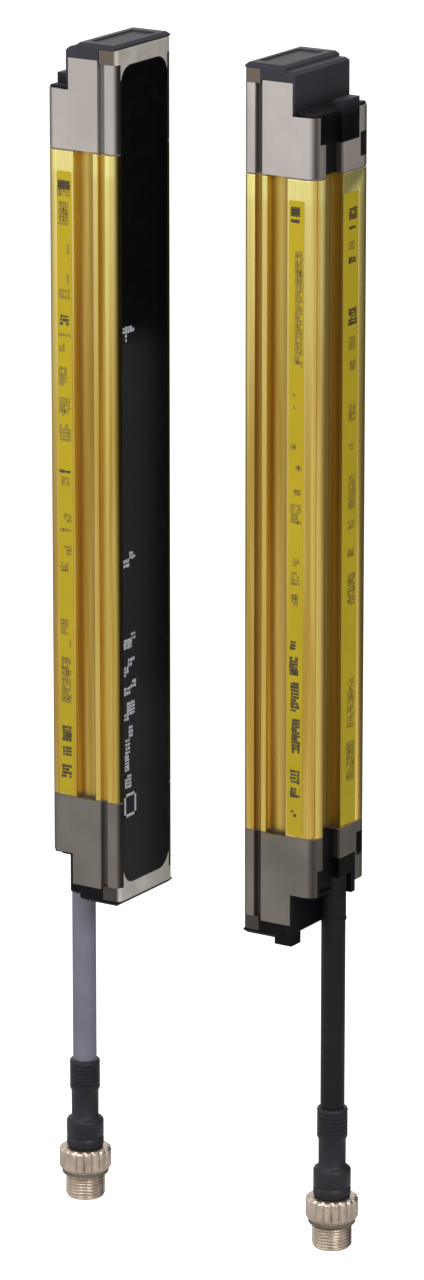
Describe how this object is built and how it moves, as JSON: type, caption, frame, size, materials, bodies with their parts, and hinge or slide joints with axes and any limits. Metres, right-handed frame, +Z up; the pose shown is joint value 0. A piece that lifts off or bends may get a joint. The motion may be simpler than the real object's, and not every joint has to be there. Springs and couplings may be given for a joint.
{
  "type": "safety light curtain",
  "caption": "Pair of upright safety light curtain bars, emitter facing receiver, with dark front windows, slotted yellow housings, stepped end caps and cables that end in round plugs.",
  "frame": {"origin": "on the receiver bar's back face, at mid height and in the middle of its width", "axes": "+Z up along the bars, +X out of the receiver's back face, away from the emitter, +Y across the bars"},
  "size_m": [0.1016, 0.0302, 0.3586],
  "materials": {
    "housing_paint": "satin gold-yellow painted aluminium extrusion",
    "window_plastic": "glossy near-black front plate",
    "seal_rubber": "black flat seal",
    "cap_silver": "satin silver-grey painted casting",
    "bezel_metal": "satin metal trim",
    "cover_plastic": "matt black moulded plastic",
    "screw_steel": "zinc plated steel",
    "lens_plastic": "clear moulded plastic",
    "carrier_plastic": "black moulded plastic",
    "circuit_board": "green circuit board",
    "component_plastic": "dark moulded component",
    "label_film": "satin yellow label film",
    "gland_rubber": "matt black rubber",
    "cable_grey": "satin grey cable jacket",
    "cable_black": "satin black cable jacket",
    "plug_plastic": "dark grey moulded grip",
    "nut_nickel": "nickel plated brass, satin",
    "contact_gold": "gold plated contacts"
  },
  "bodies": {
    "root": {"emitter_housing": "housing_paint", "emitter_window": "window_plastic", "emitter_window_seal": "seal_rubber", "emitter_top_cap": "cap_silver", "emitter_bottom_cap": "cap_silver", "emitter_top_gasket": "seal_rubber", "emitter_bottom_gasket": "seal_rubber", "emitter_top_bezel": "bezel_metal", "emitter_bottom_bezel": "bezel_metal", "emitter_top_cover": "cover_plastic", "emitter_bottom_cover": "cover_plastic", "emitter_top_screws": "screw_steel", "emitter_bottom_screws": "screw_steel", "emitter_lens_strip": "lens_plastic", "emitter_optics_carrier": "carrier_plastic", "emitter_beam_board": "circuit_board", "emitter_control_board": "circuit_board", "emitter_light_pipe": "lens_plastic", "emitter_side_label": "label_film", "emitter_back_label": "label_film", "emitter_cable_gland": "gland_rubber", "emitter_plug_body": "plug_plastic", "emitter_plug_nut": "nut_nickel", "emitter_plug_insert": "carrier_plastic", "emitter_plug_pins": "contact_gold", "emitter_plug_ring": "seal_rubber", "receiver_housing": "housing_paint", "receiver_window": "window_plastic", "receiver_window_seal": "seal_rubber", "receiver_top_cap": "cap_silver", "receiver_bottom_cap": "cap_silver", "receiver_top_gasket": "seal_rubber", "receiver_bottom_gasket": "seal_rubber", "receiver_top_bezel": "bezel_metal", "receiver_bottom_bezel": "bezel_metal", "receiver_top_cover": "cover_plastic", "receiver_bottom_cover": "cover_plastic", "receiver_top_screws": "screw_steel", "receiver_bottom_screws": "screw_steel", "receiver_lens_strip": "lens_plastic", "receiver_optics_carrier": "carrier_plastic", "receiver_beam_board": "circuit_board", "receiver_control_board": "circuit_board", "receiver_light_pipe": "lens_plastic", "receiver_side_label": "label_film", "receiver_back_label": "label_film", "receiver_cable_gland": "gland_rubber", "receiver_plug_body": "plug_plastic", "receiver_plug_nut": "nut_nickel", "receiver_plug_insert": "carrier_plastic", "receiver_plug_pins": "contact_gold", "receiver_plug_ring": "seal_rubber", "emitter_beam_leds": "component_plastic", "receiver_photodiodes": "component_plastic", "emitter_cable": "cable_grey", "receiver_cable": "cable_black"}
  },
  "joints": []
}
